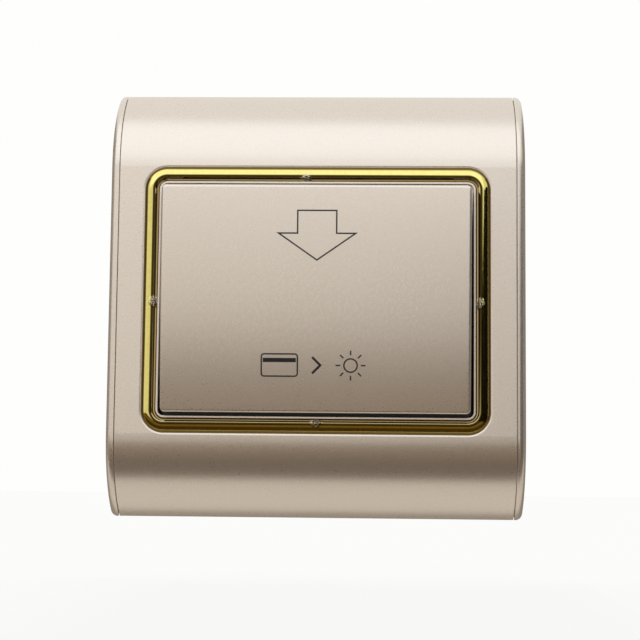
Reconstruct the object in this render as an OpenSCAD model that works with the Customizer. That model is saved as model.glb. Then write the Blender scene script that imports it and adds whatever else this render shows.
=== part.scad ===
// Hotel key card switch: a rolled wall plate with a gold ring and a leaning card pocket, plugged on to a
// mounting frame that carries a rear housing, a reader coil, a circuit board, a wiring strip and a relay.
// Each piece is drawn lying on its back, with x to the right, y up the wall and z out from the wall.
// on_wall() stands it up: the finished part has +Z up, faces -Y, and the wall is the plane Y = 0.

/* [Face plate] */
// Width of the plate over both end caps
plate_w = 86; // [84:0.5:92]
// Height of the plate at the wall
plate_h = 90; // [88:0.5:98]
// How far the flat front stands out from the wall
plate_depth = 10; // [9.5:0.25:12]
// Radius of the roll at the top and at the bottom
roll_r = 20; // [18:0.5:22]
// Wall thickness of the plate
plate_wall = 2.2; // [1.9:0.1:2.6]
// Clear space between the plate's back rim and the wall
rim_gap = 0.3; // [0.1:0.1:0.8]

/* [End caps] */
// Thickness of each end cap
cap_w = 1.75; // [1.6:0.05:2.5]
// Rounding of each end cap's outer edge
cap_round = 1.4; // [0.8:0.1:1.5]
// Rounding of each end cap's corners, seen from the front
cap_corner = 1.5; // [0.8:0.1:1.7]
// Seam between an end cap and the plate
seam = 0.15; // [0.1:0.05:0.5]
// How far an end cap's tongue reaches in under the plate
tongue_len = 2.6; // [1.5:0.1:3]
// Thickness of that tongue
tongue_t = 1.5; // [1:0.1:2]
// Clearance between the tongue and the plate's inside
tongue_fit = 0.1; // [0.05:0.05:0.2]
// Depth of the seam, down to where an end cap butts on the plate
seam_depth = 0.5; // [0.4:0.1:1.2]

/* [Trim ring] */
// Width of the ring over its seat
ring_w = 70.5; // [69.5:0.1:72]
// Height of the ring over its seat
ring_h = 54.1; // [52.5:0.1:55.5]
// Width of the ring's bar
ring_bar = 2.4; // [2.2:0.1:2.7]
// Radius of the seat's corners
ring_r = 4.2; // [3.8:0.1:5]
// How far the ring's bead stands proud of the plate
ring_proud = 0.8; // [0.5:0.05:0.9]
// Depth of the ring's seat in the plate
ring_seat = 1.2; // [0.9:0.05:1.3]
// Width of the low step inside the bead
ring_step = 0.3; // [0.2:0.05:0.5]
// Width of the bead's steep inner slope, from the step up to its crest
ring_crest = 0.7; // [0.5:0.05:0.9]
// How far the low step lies below the plate's front
step_drop = 0.5; // [0.3:0.05:0.6]
// How far the ring's bead laps over the plate outside its seat
ring_lap = 0.3; // [0.2:0.05:0.4]
// Thickness of the bead's outer edge
ring_edge = 0.1; // [0.05:0.05:0.2]
// Clearance between the ring and its seat in the plate, under the bead
ring_groove = 0.15; // [0.1:0.05:0.4]

/* [Card pocket] */
// Gap between the ring and the tray's lip
lip_gap = 0.1; // [0.1:0.05:0.3]
// Width of the tray's lip
lip_w = 0.55; // [0.45:0.05:0.8]
// How far the lip stands proud of the plate
lip_proud = 0.3; // [0.1:0.05:0.5]
// Clearance between the lip and the plate's window
lip_fit = 0.3; // [0.2:0.05:0.5]
// Extra thickness of the tray's wall below the lip
shoulder = 1.2; // [0.8:0.1:1.6]
// Gap between the lip and the pocket's front panel at each side
panel_side_gap = 0.7; // [0.5:0.05:1.1]
// Gap between the lip and the panel at the top, where the card goes in
panel_top_gap = 1.15; // [0.7:0.05:1.3]
// Gap between the lip and the panel at the bottom
panel_low_gap = 0.5; // [0.4:0.05:0.8]
// Angle by which the pocket leans out towards its top
lean = 4.5; // [3.5:0.25:5]
// How far the middle of the front panel stands proud of the plate
panel_proud = 4.55; // [4.2:0.05:5.5]
// Thickness of the front panel
panel_t = 1.2; // [1:0.1:1.4]
// Rounding of the front panel's front edge
panel_edge = 0.55; // [0.3:0.05:0.7]
// Corner radius of the front panel
panel_r = 0.9; // [0.8:0.1:1.5]
// Width of the card that slides in
card_w = 54; // [52:0.1:54.5]
// Side clearance of the card in the pocket
card_fit = 1.2; // [0.6:0.1:1.4]
// Depth of the pocket from its floor to the panel's back
pocket_gap = 5.2; // [5:0.1:5.4]
// Thickness of the tray's floor
floor_t = 1.2; // [1:0.1:1.5]
// Setback of the pocket's side walls from the panel's edge
rail_inset = 0.4; // [0.3:0.1:0.6]
// Thickness of the stop at the pocket's bottom
stop_t = 1.6; // [1.2:0.1:2.2]

/* [Mounting frame] */
// Thickness of the mounting frame
frame_t = 2.4; // [2.2:0.1:2.8]
// Clearance between the frame's sides and the plate's ends
frame_gap_x = 3; // [2.8:0.1:4]
// How far the frame's top and bottom stay inside the plate's height
frame_gap_y = 6; // [5.5:0.1:8]
// Corner radius of the frame
frame_r = 4; // [2:0.5:8]
// Distance between the two wall screws
wall_pitch = 60.3; // [60:0.1:60.6]
// Width of the slots for the wall screws
wall_slot_w = 4.2; // [4:0.1:4.6]
// Length of the slots for the wall screws
wall_slot_l = 7; // [6:0.5:8]
// Depth of the seat for the housing's rim in the frame's back
housing_seat = 0.8; // [0.5:0.1:1]

/* [Plug-in lugs] */
// Width of each lug of the plate
lug_w = 8; // [6:0.5:10]
// Thickness of each lug
lug_t = 1.6; // [1.2:0.1:2]
// Distance of the lugs from the middle of the plate, sideways
lug_x = 28; // [24:0.5:31]
// Distance from a lug's middle to the frame's edge
lug_edge = 3; // [2.6:0.1:4]
// Clearance of a lug in its slot
lug_fit = 0.05; // [0.03:0.01:0.1]
// How far a lug's shoulder stands out at each end of the lug
lug_shoulder = 2; // [1.5:0.1:2.5]
// How far a lug's shoulder stands out on each side of the lug
lug_web = 0.8; // [0.5:0.1:1]

/* [Rear housing] */
// Width of the housing, between the wall box's screw posts
housing_w = 50; // [49:0.5:51.5]
// Height of the housing
housing_h = 60; // [59:0.5:64]
// How far the housing reaches behind the wall's plane
housing_depth = 26; // [25.5:0.5:34]
// Wall thickness of the housing
housing_wall = 1.8; // [1.5:0.1:2]
// Thickness of the housing's back
housing_floor = 2; // [1.5:0.1:2.4]
// Corner radius of the housing
housing_r = 3; // [2:0.5:4]
// Outside diameter of the screw posts
post_d = 6; // [5.4:0.1:6.6]
// Width of the ledge that carries the circuit board
board_ledge = 1; // [0.6:0.1:1.2]

/* [Circuit board] */
// Thickness of the circuit board
board_t = 1.6; // [1.2:0.2:2]
// Depth of the board's front face behind the wall's plane
board_depth = 2; // [1.8:0.1:2.6]
// Clearance round the board
board_fit = 0.2; // [0.1:0.05:0.4]
// Space kept between parts on the board
part_gap = 0.8; // [0.5:0.1:1]

/* [Reader coil] */
// Width of the coil over its outside
coil_w = 44; // [40:0.5:46]
// Height of the coil over its outside
coil_h = 39; // [36:0.5:41]
// Width of the winding
coil_bar = 3; // [2:0.1:4]
// Height of the winding
coil_t = 1.6; // [1.2:0.1:2]
// Outside radius of the coil's corners
coil_r = 6; // [5:0.5:8]
// Diameter of the coil's wire ends
lead_d = 0.6; // [0.4:0.1:0.8]

/* [Wiring strip] */
// Number of wiring places
ways = 4; // [3:1:4]
// Distance from one wiring place to the next
way_pitch = 9.5; // [9:0.1:9.8]
// Thickness of the barriers between the places
barrier_t = 1.4; // [1:0.1:1.8]
// Depth of the strip, up and down
strip_d = 13; // [12:0.5:14]
// Height of the strip's base
strip_base = 10; // [9:0.5:11]
// Height of the barriers above the base
barrier_h = 9; // [8.5:0.25:9.5]

/* [Relay] */
// Length of the relay
relay_l = 24; // [23.8:0.1:25]
// Width of the relay
relay_w = 20; // [19.6:0.2:21]
// Space between the relay and the housing's back
relay_room = 2.4; // [0.5:0.1:2.6]
// Wall thickness of the relay's cover
relay_wall = 0.9; // [0.7:0.1:1]
// Working gap between the contacts
contact_gap = 0.6; // [0.5:0.01:0.8]
// Gap left between the armature and the core when the contacts meet
pole_rest = 0.05; // [0.03:0.01:0.1]

/* [Screws] */
// Shank diameter of the housing's screws
housing_screw_d = 2.6; // [2.2:0.1:2.9]
// Shank diameter of the tray's screws
tray_screw_d = 2; // [1.8:0.1:2.2]
// Shank diameter of the panel's screws
panel_screw_d = 1.6; // [1.4:0.1:1.7]
// Shank diameter of the wiring screws
wire_screw_d = 3.9; // [3.4:0.1:3.9]
// Clearance round a screw's shank
screw_fit = 0.05; // [0.03:0.01:0.1]

/* [Hidden] */
$fn = 64;

// Small overlap that makes two forms of one piece run into each other
bite = 0.4;

// Face plate
plate_len = plate_w - 2 * (cap_w + seam);
flat_half = plate_h / 2 - sqrt(pow(roll_r, 2) - pow(roll_r - plate_depth, 2));
roll_z = plate_depth - roll_r;
inside_z = plate_depth - plate_wall;
roll_sweep = 80;

// Trim ring
ring_in_w = ring_w - 2 * ring_bar;
ring_in_h = ring_h - 2 * ring_bar;
ring_in_r = ring_r - ring_bar;
ring_z = plate_depth - ring_seat;
ledge_h = ring_seat - step_drop;
bead_h = ring_proud + step_drop;
crest_x = ring_step + ring_crest;
slope_w = ring_bar + ring_lap - crest_x;
slope_fall = ring_proud - ring_edge;
slope_r = (pow(slope_w, 2) + pow(slope_fall, 2)) / (2 * slope_fall);
crest_fall = bead_h + ledge_h / 4;
crest_r = (pow(ring_crest, 2) + pow(crest_fall, 2)) / (2 * crest_fall);
ring_top = ring_seat + ring_proud;

// Card pocket
lip_out_w = ring_in_w - 2 * lip_gap;
lip_out_h = ring_in_h - 2 * lip_gap;
lip_out_r = ring_in_r - lip_gap;
window_w = lip_out_w + 2 * lip_fit;
window_h = lip_out_h + 2 * lip_fit;
window_r = lip_out_r + lip_fit;
panel_w = lip_out_w - 2 * (lip_w + panel_side_gap);
panel_h = lip_out_h - 2 * lip_w - panel_top_gap - panel_low_gap;
panel_shift = (panel_low_gap - panel_top_gap) / 2;
panel_z = plate_depth + panel_proud;
pocket_w = card_w + 2 * card_fit;
pocket_floor = -panel_t - pocket_gap;
rail_x = panel_w / 2 - rail_inset;
rail_y = panel_h / 2 - rail_inset;
rail_mid = (pocket_w / 2 + rail_x) / 2;
tray_skirt = 0.3;
tray_low = panel_z - (lip_out_h / 2) * sin(lean) + (pocket_floor - floor_t) * cos(lean) - tray_skirt;

// Screws that hold the tray and the panel
boss_wall = 1.1;
boss_h = 1.6;
boss_gap = 0.1;
tray_boss_d = tray_screw_d + 2 * boss_wall;
tray_boss_z = inside_z - boss_h;
tray_ear_t = 1.4;
tray_ear_d = tray_boss_d + boss_wall;
tray_pilot_skin = 1.2;
tray_head_h = 1.2;
tray_head = [tray_screw_d * 2, tray_head_h];
panel_screw_y = 15;
panel_screw_bite = 3.8;
panel_head_h = 1;
panel_head = [panel_screw_d * 1.8, panel_head_h];

// Mounting frame
frame_w = plate_len - 2 * frame_gap_x;
frame_h = plate_h - 2 * frame_gap_y;
lug_y = frame_h / 2 - lug_edge;
wall_head_h = 3;
wall_head_room = 1;
wall_head = [2 * wall_slot_w + wall_head_room, wall_head_h];
lug_low = 0.6;
lug_root_w = lug_w + 2 * lug_shoulder;
lug_root_t = lug_t + 2 * lug_web;
lug_seat = 0.05;
housing_clear = 0.2;

// Places of the tray's screws, beside the lugs and clear of the ring's seat
tray_screw_gap = 0.8;
tray_screw_x = lug_x - lug_root_w / 2 - tray_ear_d / 2 - tray_screw_gap;
tray_screw_y = ring_h / 2 + ring_groove + tray_boss_d / 2 + boss_gap;

// Rear housing and circuit board
cavity_w = housing_w - 2 * housing_wall;
cavity_h = housing_h - 2 * housing_wall;
board_w = cavity_w - 2 * board_fit;
board_h = cavity_h - 2 * board_fit;
board_back = -board_depth - board_t;
post_inset = 0.2;
post_x = cavity_w / 2 - post_d / 2 - post_inset;
post_y = cavity_h / 2 - post_d / 2 - post_inset;
notch_fit = 0.5;
post_notch = post_d / 2 + notch_fit;
board_r = 1;
housing_back = -housing_depth + housing_floor;
housing_screw_l = 10;
housing_head_h = 1.7;
housing_head = [housing_screw_d * 2, housing_head_h];
peg_d = 3;
peg_x = board_w / 2 - peg_d;
peg_y = 12;

// Reader coil and locator lamp
coil_in_w = coil_w - 2 * coil_bar;
coil_in_h = coil_h - 2 * coil_bar;
coil_in_r = coil_r - coil_bar;
lead_x = 1.5;
lead_in = 0.5;
lead_y = coil_in_h / 2 - lead_in;
lead_room = 0.6;
lead_hole_w = 2 * lead_x + lead_d + 2 * lead_room;
lead_hole_h = lead_d + 2 * lead_room;
clip_t = 1.2;
clip_l = 6;
led_d = 3;
led_y = 9;
led_base = 0.9;
led_body = 4;
led_fit = 0.2;
led_hole_d = led_d + 2 * led_fit;

// Parts on the board
chip_l = 10;
chip_w = 4;
chip_h = 1.3;
chip_y = 4;
leg_w = 0.4;
leg_l = 1;
leg_h = 0.5;
leg_pitch = 1.27;
leg_rows = 8;
dropper_w = 8.5;
dropper_l = 18;
dropper_h = 15;
dropper_r = 0.8;
filter_d = 8;
filter_h = 12;
filter_x = 6;
score_l = 5.6;
score_w = 0.5;
score_depth = 0.4;
rectifier_l = 9;
rectifier_w = 6.5;
rectifier_h = 5;
rectifier_r = 0.6;
rectifier_x = 6;
varistor_d = 9;
varistor_t = 4;
varistor_rise = 2;

// Wiring strip
strip_l = ways * way_pitch + barrier_t;
strip_gap = 0.4;
strip_y = -post_y + post_d / 2 + strip_gap + strip_d / 2;
strip_top = board_back - strip_base;
strip_wall = 1.4;
strip_fit = 0.3;
stall_y = strip_y - strip_wall / 2;
plate_fit = 0.2;
plate_end = 0.5;
plate_t = 1;
terminal_plate = [way_pitch - barrier_t - 2 * plate_fit, strip_d - strip_wall - 2 * plate_end, plate_t];
pin_w = 2;
pin_t = 1;
clamp_t = 0.8;
clamp_w = 7.2;
wire_head_d = 6.8;
wire_head_h = 2.2;
wire_head = [wire_head_d, wire_head_h];
wire_screw_l = 8;

// Relay, drawn with u along its length, v across it and w up from the board
relay_x = -board_w / 2 + board_ledge + part_gap;
relay_y = strip_y + strip_d / 2 + part_gap + relay_w / 2;
relay_h = housing_depth - housing_floor - relay_room - board_depth - board_t;
relay_base_t = 1.6;
relay_fit = 0.05;
iron_t = 1.4;
iron_off = 2;
iron_v = -iron_off;
iron_w = 11;
armature_room = 5;
pivot_u = relay_l - armature_room;
yoke_room = 1.1;
yoke_u = 1.6;
yoke_gap = 0.1;
yoke_w = relay_h - relay_wall - yoke_room - iron_t;
pivot_w = yoke_w + iron_t / 2;
bobbin_low = 0.9;
bobbin_fit = 0.1;
flange_w = yoke_w - bobbin_fit - bobbin_low - relay_base_t;
coil_axis = relay_base_t + bobbin_low + flange_w / 2;
flange_t = 0.8;
tube_wall = flange_w / 12;
core_d = flange_w / 3;
core_fit = 0.1;
pole_d = flange_w * 0.58;
pole_t = 1;
winding_room = flange_w / 12;
winding_d = flange_w - 2 * winding_room;
armature_inset = 0.5;
armature_w = iron_w - 2 * armature_inset;
armature_low = 4.5;
rest_t = 1;
rest_w = 4;
rest_h = 5;
post_t = 0.8;
post_w = 3.8;
post_h = 7;
blade_t = 0.35;
contact_d = 3;
contact_t = 0.8;
contact_v = 6.5;
contact_w = 5;
moving_u = pivot_u + iron_t;
fixed_u = moving_u - contact_t - contact_gap;
contact_reach = pivot_w - contact_w + contact_d / 2;
pole_reach = pivot_w - coil_axis + pole_d / 2;
air_gap = contact_gap * pole_reach / contact_reach + pole_rest;
pole_u = pivot_u - air_gap;
bobbin_end = pole_u - pole_t;

// Places of the parts beside the relay and above it
dropper_x = relay_x + relay_l + part_gap + dropper_w / 2;
varistor_x = dropper_x + dropper_w / 2 + part_gap + varistor_t / 2;
upper_y = relay_y + relay_w / 2 + part_gap + filter_d / 2;

// Colours as the photograph shows them, and common ones for what it doesn't show
champagne = "#CFC3AF";
gold = "#D2B348";
ivory = "#E9E4D8";
black_plastic = "#232323";
board_green = "#1F5B3A";
copper = "#B5703A";
brass = "#C8A951";
steel = "#B9BBBD";

// Frame helpers

// Stands a piece that lies on its back up against the wall
module on_wall() {
    rotate([90, 0, 0])
        children();
}

// Draws in the plane of the leaning pocket, whose z = 0 is the middle of the panel's front face
module leaned() {
    translate([0, panel_shift, panel_z])
        rotate([lean, 0, 0])
            children();
}

// Draws in the relay's own frame, with w up from the board's back
module at_relay() {
    translate([relay_x, relay_y, board_back])
        rotate([180, 0, 0])
            children();
}

// Repeats a piece at the four corners of a rectangle of half-sizes x and y
module at_corners(x, y) {
    for (sx = [-1, 1])
        for (sy = [-1, 1])
            translate([sx * x, sy * y, 0])
                children();
}

// Repeats a piece at the wiring places
module at_ways() {
    for (i = [0 : ways - 1])
        translate([(i - (ways - 1) / 2) * way_pitch, stall_y, 0])
            children();
}

// Shared shapes

// Rectangle with round corners
module round_rect(w, h, r) {
    square([w - 2 * r, h], center = true);
    square([w, h - 2 * r], center = true);
    for (sx = [-1, 1])
        for (sy = [-1, 1])
            translate([sx * (w / 2 - r), sy * (h / 2 - r)])
                circle(r);
}

// Slab with round corners between two heights
module slab(w, h, r, low, high) {
    translate([0, 0, low])
        linear_extrude(high - low)
            round_rect(w, h, r);
}

// Block between two corners
module block(low, high) {
    translate(low)
        cube(high - low);
}

// Carries a section round a rectangle: the section's x runs outwards from the inner edge, its y is up
module frame_sweep(in_w, in_h, in_r) {
    for (k = [0 : 3]) {
        across = k % 2 == 0 ? in_w : in_h;
        along = k % 2 == 0 ? in_h : in_w;
        rotate(90 * k)
            translate([across / 2, 0, 0])
                rotate([90, 0, 0])
                    linear_extrude(along - 2 * in_r, center = true)
                        children();
        rotate(90 * k)
            translate([across / 2 - in_r, along / 2 - in_r, 0])
                rotate_extrude(angle = 90)
                    translate([in_r, 0])
                        children();
    }
}

// Screw whose head stands on z = 0, with a crossed recess
module screw(shank_d, shank_l, head) {
    recess = [head[0] * 0.62, head[0] * 0.14, head[1] * 0.55];
    translate([0, 0, -shank_l])
        cylinder(d = shank_d, h = shank_l + bite);
    difference() {
        cylinder(d = head[0], h = head[1]);
        for (turn = [0, 90])
            rotate(turn)
                translate([0, 0, head[1]])
                    cube([recess[0], recess[1], 2 * recess[2]], center = true);
    }
}

// Upright hole for a screw's shank
module screw_hole(shank_d, low, high) {
    translate([0, 0, low])
        cylinder(d = shank_d + 2 * screw_fit, h = high - low);
}

// Side view of the plate, y across and z up, set in from its outer face and cut off at a height
module plate_profile(inset, low) {
    intersection() {
        union() {
            translate([-flat_half, low])
                square([2 * flat_half, plate_depth - inset - low]);
            for (side = [-1, 1])
                translate([side * flat_half, roll_z])
                    circle(roll_r - inset);
        }
        translate([-plate_h, low])
            square([2 * plate_h, 2 * plate_depth]);
    }
}

// Runs a side view across the plate between two places
module across_plate(left, right) {
    translate([left, 0, 0])
        rotate([90, 0, 90])
            linear_extrude(right - left)
                children();
}

// Front cover

// Section of an end cap: x is the distance from the roll's axis, y the distance from the seam
module cap_section() {
    low = roll_r - plate_depth;
    translate([low, 0])
        square([plate_depth - cap_round, cap_w]);
    translate([low, 0])
        square([plate_depth, cap_w - cap_round]);
    translate([roll_r - cap_round, cap_w - cap_round])
        intersection() {
            circle(cap_round);
            square(cap_round);
        }
}

// Right-hand end cap, whose rounded edge follows the flat front and both rolls
module end_cap() {
    translate([plate_len / 2 + seam, 0, 0])
        intersection() {
            translate([0, 0, roll_z])
                union() {
                    rotate([-90, -90, 0])
                        linear_extrude(2 * flat_half, center = true)
                            cap_section();
                    for (side = [0, 1])
                        mirror([0, side, 0])
                            translate([0, -flat_half, 0])
                                rotate([180, -90, 0])
                                    rotate_extrude(angle = roll_sweep)
                                        cap_section();
                }
            translate([-plate_len / 2 - seam, 0, 0])
                slab(plate_w, plate_h, cap_corner, rim_gap, 2 * plate_depth);
        }
    across_plate(plate_len / 2, plate_len / 2 + seam + cap_w - cap_round)
        plate_profile(seam_depth, rim_gap);
    across_plate(plate_len / 2 - tongue_len, plate_len / 2 + seam)
        difference() {
            plate_profile(plate_wall + tongue_fit, frame_t + bite);
            plate_profile(plate_wall + tongue_fit + tongue_t, 0);
        }
}

module right_end_cap() {
    color(champagne)
        on_wall()
            end_cap();
}

module left_end_cap() {
    color(champagne)
        on_wall()
            mirror([1, 0, 0])
                end_cap();
}

// Lug that plugs the plate into the mounting frame, with a shoulder that stops on the frame
module plug_lug() {
    block([-lug_w / 2, -lug_t / 2, lug_low], [lug_w / 2, lug_t / 2, plate_depth]);
    block([-lug_root_w / 2, -lug_root_t / 2, frame_t + lug_seat],
        [lug_root_w / 2, lug_root_t / 2, plate_depth]);
}

module face_plate() {
    color(champagne)
        on_wall()
            difference() {
                union() {
                    across_plate(-plate_len / 2, plate_len / 2)
                        difference() {
                            plate_profile(0, rim_gap);
                            plate_profile(plate_wall, 0);
                        }
                    intersection() {
                        at_corners(lug_x, lug_y)
                            plug_lug();
                        across_plate(-plate_len / 2, plate_len / 2)
                            plate_profile(plate_wall / 2, 0);
                    }
                    at_corners(tray_screw_x, tray_screw_y)
                        translate([0, 0, tray_boss_z])
                            cylinder(d = tray_boss_d, h = inside_z - tray_boss_z + bite);
                }
                slab(ring_w + 2 * ring_groove, ring_h + 2 * ring_groove, ring_r + ring_groove,
                    ring_z, 2 * plate_depth);
                slab(window_w, window_h, window_r, 0, 2 * plate_depth);
                at_corners(tray_screw_x, tray_screw_y)
                    screw_hole(tray_screw_d, 0, plate_depth - tray_pilot_skin);
            }
}

// Section of the ring: a flat foot with a low inner step, and a bead that rises slowly from the outside to
// its crest and falls steeply to the step
module ring_section() {
    square([ring_bar, ledge_h]);
    translate([crest_x, 0])
        square([ring_bar - crest_x, ring_seat]);
    intersection() {
        translate([crest_x, ring_top - slope_r])
            circle(slope_r);
        translate([crest_x, ring_seat])
            square([slope_w, 2 * ring_proud]);
    }
    intersection() {
        translate([crest_x, ring_top - crest_r])
            circle(crest_r);
        translate([ring_step, ledge_h / 2])
            square([ring_crest, ring_top]);
    }
}

module trim_ring() {
    color(gold)
        on_wall()
            translate([0, 0, ring_z])
                frame_sweep(ring_in_w, ring_in_h, ring_in_r)
                    ring_section();
}

// Wall of the tray: a thin lip in the plate's window on a thicker wall under the plate
module tray_wall() {
    difference() {
        union() {
            slab(lip_out_w, lip_out_h, lip_out_r, tray_low, plate_depth + lip_proud);
            slab(lip_out_w + 2 * shoulder, lip_out_h + 2 * shoulder, lip_out_r + shoulder,
                tray_low, inside_z);
        }
        slab(lip_out_w - 2 * lip_w, lip_out_h - 2 * lip_w, lip_out_r - lip_w, 0, 2 * plate_depth);
    }
}

// Ear that carries a screw into the plate's boss
module tray_ear() {
    translate([0, 0, tray_boss_z - tray_ear_t])
        cylinder(d = tray_ear_d, h = tray_ear_t);
}

module card_tray() {
    color(champagne)
        on_wall()
            difference() {
                union() {
                    tray_wall();
                    intersection() {
                        leaned()
                            block([-plate_w, -plate_h, pocket_floor - floor_t],
                                [plate_w, plate_h, pocket_floor]);
                        slab(lip_out_w - lip_w, lip_out_h - lip_w, lip_out_r - lip_w / 2,
                            0, 2 * plate_depth);
                    }
                    for (sx = [-1, 1])
                        for (sy = [-1, 1])
                            translate([sx * tray_screw_x, sy * tray_screw_y, 0])
                                tray_ear();
                    for (sx = [-1, 1])
                        for (sy = [0, 1])
                            mirror([0, sy, 0])
                                block([sx * tray_screw_x - tray_boss_d / 2, lip_out_h / 2,
                                        tray_boss_z - tray_ear_t],
                                    [sx * tray_screw_x + tray_boss_d / 2, tray_screw_y, tray_boss_z]);
                }
                at_corners(tray_screw_x, tray_screw_y)
                    screw_hole(tray_screw_d, 0, plate_depth);
                for (side = [-1, 1])
                    translate([side * wall_pitch / 2, 0, 0])
                        cylinder(d = wall_head[0], h = frame_t + wall_head[1]);
                leaned()
                    at_corners(rail_mid, panel_screw_y)
                        screw_hole(panel_screw_d, -plate_depth, 0);
                translate([0, led_y, 0])
                    cylinder(d = led_hole_d, h = plate_depth);
            }
}

// Section of the panel's edge: square behind, rounded in front
module panel_edge_section() {
    square([panel_edge, panel_t - panel_edge]);
    intersection() {
        translate([0, panel_t - panel_edge])
            circle(panel_edge);
        square([panel_edge, panel_t]);
    }
}

module card_panel() {
    inner = 2 * panel_edge;
    color(champagne)
        on_wall()
            leaned()
                difference() {
                    union() {
                        translate([0, 0, -panel_t])
                            frame_sweep(panel_w - inner, panel_h - inner, panel_r - panel_edge)
                                panel_edge_section();
                        slab(panel_w - inner, panel_h - inner, panel_r - panel_edge, -panel_t, 0);
                        for (side = [0, 1])
                            mirror([side, 0, 0])
                                block([pocket_w / 2, -rail_y, pocket_floor],
                                    [rail_x, rail_y, -panel_t / 2]);
                        block([-rail_x, -rail_y, pocket_floor],
                            [rail_x, stop_t - rail_y, -panel_t / 2]);
                    }
                    at_corners(rail_mid, panel_screw_y)
                        screw_hole(panel_screw_d, pocket_floor - bite,
                            pocket_floor + panel_screw_bite + bite);
                }
}

module tray_screws() {
    color(steel)
        on_wall()
            at_corners(tray_screw_x, tray_screw_y)
                translate([0, 0, tray_boss_z - tray_ear_t])
                    rotate([180, 0, 0])
                        screw(tray_screw_d, plate_depth - tray_pilot_skin - tray_boss_z + tray_ear_t - bite,
                            tray_head);
}

module panel_screws() {
    color(steel)
        on_wall()
            leaned()
                at_corners(rail_mid, panel_screw_y)
                    translate([0, 0, pocket_floor - floor_t])
                        rotate([180, 0, 0])
                            screw(panel_screw_d, floor_t + panel_screw_bite, panel_head);
}

// Base

// Slot for a wall screw, long sideways so that the frame can be set level
module wall_slot() {
    reach = (wall_slot_l - wall_slot_w) / 2;
    for (side = [-1, 1])
        translate([side * reach, 0, -frame_t])
            cylinder(d = wall_slot_w, h = 3 * frame_t);
    block([-reach, -wall_slot_w / 2, -frame_t], [reach, wall_slot_w / 2, 2 * frame_t]);
}

// Clips that hold the coil in place on the frame's front
module coil_clips() {
    for (side = [0, 1])
        mirror([side, 0, 0])
            block([coil_w / 2, -clip_l / 2, frame_t - bite],
                [coil_w / 2 + clip_t, clip_l / 2, frame_t + coil_t]);
    for (side = [0, 1])
        mirror([0, side, 0])
            block([-clip_l / 2, coil_h / 2, frame_t - bite],
                [clip_l / 2, coil_h / 2 + clip_t, frame_t + coil_t]);
}

module mounting_frame() {
    color(ivory)
        on_wall() {
            difference() {
                union() {
                    slab(frame_w, frame_h, frame_r, 0, frame_t);
                    coil_clips();
                }
                slab(housing_w + 2 * housing_clear, housing_h + 2 * housing_clear,
                    housing_r + housing_clear, -frame_t, housing_seat);
                for (side = [-1, 1])
                    translate([side * wall_pitch / 2, 0, 0])
                        wall_slot();
                at_corners(lug_x, lug_y)
                    block([-lug_w / 2 - lug_fit, -lug_t / 2 - lug_fit, -frame_t],
                        [lug_w / 2 + lug_fit, lug_t / 2 + lug_fit, 2 * frame_t]);
                at_corners(post_x, post_y)
                    screw_hole(housing_screw_d, -frame_t, 2 * frame_t);
                translate([0, led_y, -frame_t])
                    cylinder(d = led_hole_d, h = 3 * frame_t);
                block([-lead_hole_w / 2, lead_y - lead_hole_h / 2, -frame_t],
                    [lead_hole_w / 2, lead_y + lead_hole_h / 2, 2 * frame_t]);
            }
            at_corners(peg_x, peg_y)
                translate([0, 0, -board_depth])
                    cylinder(d = peg_d, h = board_depth + housing_seat + bite);
        }
}

module rear_housing() {
    opening = [strip_l / 2 + strip_fit, strip_d / 2 + strip_fit];
    color(black_plastic)
        on_wall()
            difference() {
                union() {
                    difference() {
                        slab(housing_w, housing_h, housing_r, -housing_depth, housing_seat);
                        slab(cavity_w, cavity_h, housing_r - housing_wall, board_back, plate_depth);
                        slab(cavity_w - 2 * board_ledge, cavity_h - 2 * board_ledge,
                            housing_r - housing_wall, housing_back, plate_depth);
                    }
                    at_corners(post_x, post_y)
                        translate([0, 0, housing_back - bite])
                            cylinder(d = post_d, h = housing_seat - housing_back + bite);
                }
                block([-opening[0], strip_y - opening[1], -2 * housing_depth],
                    [opening[0], strip_y + opening[1], housing_back + bite]);
                at_corners(post_x, post_y)
                    screw_hole(housing_screw_d, housing_seat - housing_screw_l, frame_t);
            }
}

module housing_screws() {
    color(steel)
        on_wall()
            at_corners(post_x, post_y)
                translate([0, 0, frame_t])
                    screw(housing_screw_d, housing_screw_l - bite, housing_head);
}

module main_board() {
    notch = [board_w / 2 - post_x + post_notch, board_h / 2 - post_y + post_notch];
    color(board_green)
        on_wall()
            difference() {
                slab(board_w, board_h, board_r, board_back, -board_depth);
                at_corners(board_w / 2, board_h / 2)
                    cube([2 * notch[0], 2 * notch[1], 4 * housing_depth], center = true);
            }
}

module antenna_coil() {
    color(copper)
        on_wall() {
            translate([0, 0, frame_t])
                frame_sweep(coil_in_w, coil_in_h, coil_in_r)
                    square([coil_bar, coil_t]);
            for (side = [-1, 1])
                translate([side * lead_x, lead_y, 0]) {
                    translate([0, 0, -board_depth])
                        cylinder(d = lead_d, h = board_depth + frame_t + coil_t / 2);
                    translate([0, 0, frame_t + coil_t / 2])
                        rotate([-90, 0, 0])
                            cylinder(d = lead_d, h = coil_in_h / 2 - lead_y + bite);
                    translate([0, 0, frame_t + coil_t / 2])
                        sphere(d = lead_d);
                }
        }
}

module locator_led() {
    color("#DCE6F2")
        on_wall()
            translate([0, led_y, 0]) {
                translate([0, 0, led_base])
                    cylinder(d = led_d, h = led_body);
                translate([0, 0, led_base + led_body])
                    sphere(d = led_d);
                for (side = [-1, 1])
                    translate([side * led_d / 4, 0, -board_depth])
                        cylinder(d = lead_d, h = board_depth + led_base + bite);
            }
}

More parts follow.
